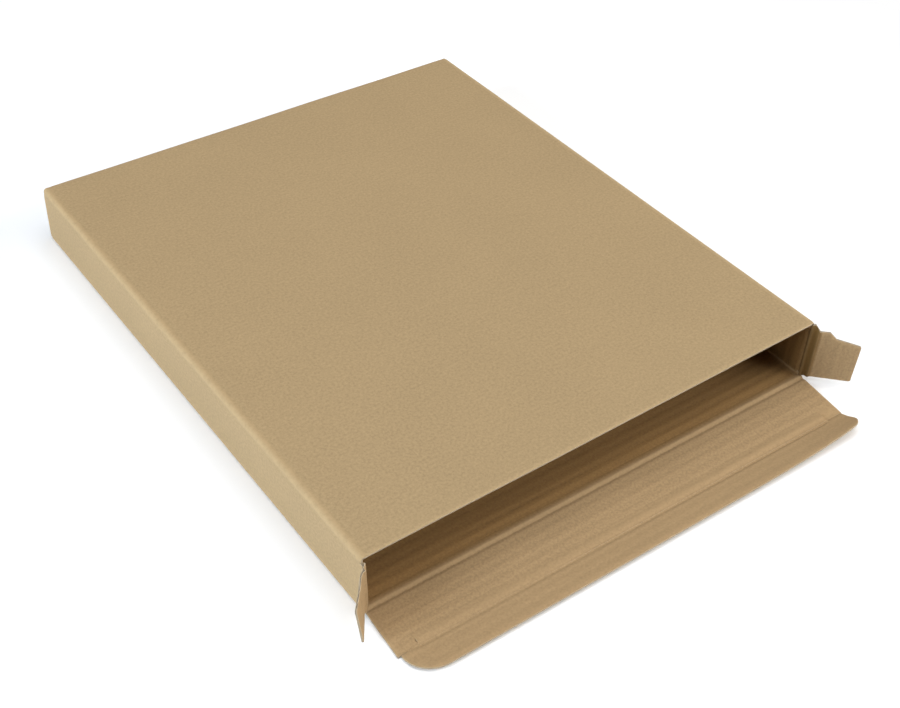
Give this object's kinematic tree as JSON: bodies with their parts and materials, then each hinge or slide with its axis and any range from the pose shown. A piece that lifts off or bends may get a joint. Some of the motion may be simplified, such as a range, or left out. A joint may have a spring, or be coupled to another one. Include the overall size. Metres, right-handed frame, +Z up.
{
  "type": "shallow cardboard mailing box",
  "caption": "Shallow mailing box of brown corrugated cardboard, one end open with its lid, tuck flap and dust flaps spread, the far end tucked shut.",
  "frame": {"origin": "middle of the bottom panel's underside", "axes": "+X along the open end, to the right when looking into it; +Y from the open end to the closed end; +Z up"},
  "size_m": [0.357, 0.4297, 0.0403],
  "materials": {
    "kraft_board": "matte"
  },
  "bodies": {
    "sleeve": {"sleeve": "kraft_board", "back_left_dust_flap": "kraft_board", "back_right_dust_flap": "kraft_board"},
    "front_lid": {"front_lid": "kraft_board"},
    "front_tuck_flap": {"front_tuck_flap": "kraft_board"},
    "front_left_dust_flap": {"front_left_dust_flap": "kraft_board"},
    "front_right_dust_flap": {"front_right_dust_flap": "kraft_board"},
    "back_lid": {"back_lid": "kraft_board"},
    "back_tuck_flap": {"back_tuck_flap": "kraft_board"}
  },
  "joints": [
    {"name": "front_lid_fold", "type": "hinge", "parent": "sleeve", "child": "front_lid", "pos_m": [0, -0.18795, 0.0018], "axis": [-1, 0, 0], "range_deg": [0, 90]},
    {"name": "front_tuck_fold", "type": "hinge", "parent": "front_lid", "child": "front_tuck_flap", "pos_m": [0, -0.22185, 0.0018], "axis": [-1, 0, 0], "range_deg": [-8, 82]},
    {"name": "front_left_dust_fold", "type": "hinge", "parent": "sleeve", "child": "front_left_dust_flap", "pos_m": [-0.1591, -0.1865, 0.0018], "axis": [0, 0, 1], "range_deg": [-45, 135]},
    {"name": "front_right_dust_fold", "type": "hinge", "parent": "sleeve", "child": "front_right_dust_flap", "pos_m": [0.1591, -0.1865, 0.0018], "axis": [0, 0, -1], "range_deg": [-45, 135]},
    {"name": "back_lid_fold", "type": "hinge", "parent": "sleeve", "child": "back_lid", "pos_m": [0, 0.18795, 0.0018], "axis": [-1, 0, 0], "range_deg": [0, 90]},
    {"name": "back_tuck_fold", "type": "hinge", "parent": "back_lid", "child": "back_tuck_flap", "pos_m": [0, 0.18795, 0.0357], "axis": [1, 0, 0], "range_deg": [0, 54]}
  ],
  "couplings": [
    {"joint": "back_tuck_fold", "follows": "back_lid_fold", "ratio": 0.6}
  ]
}
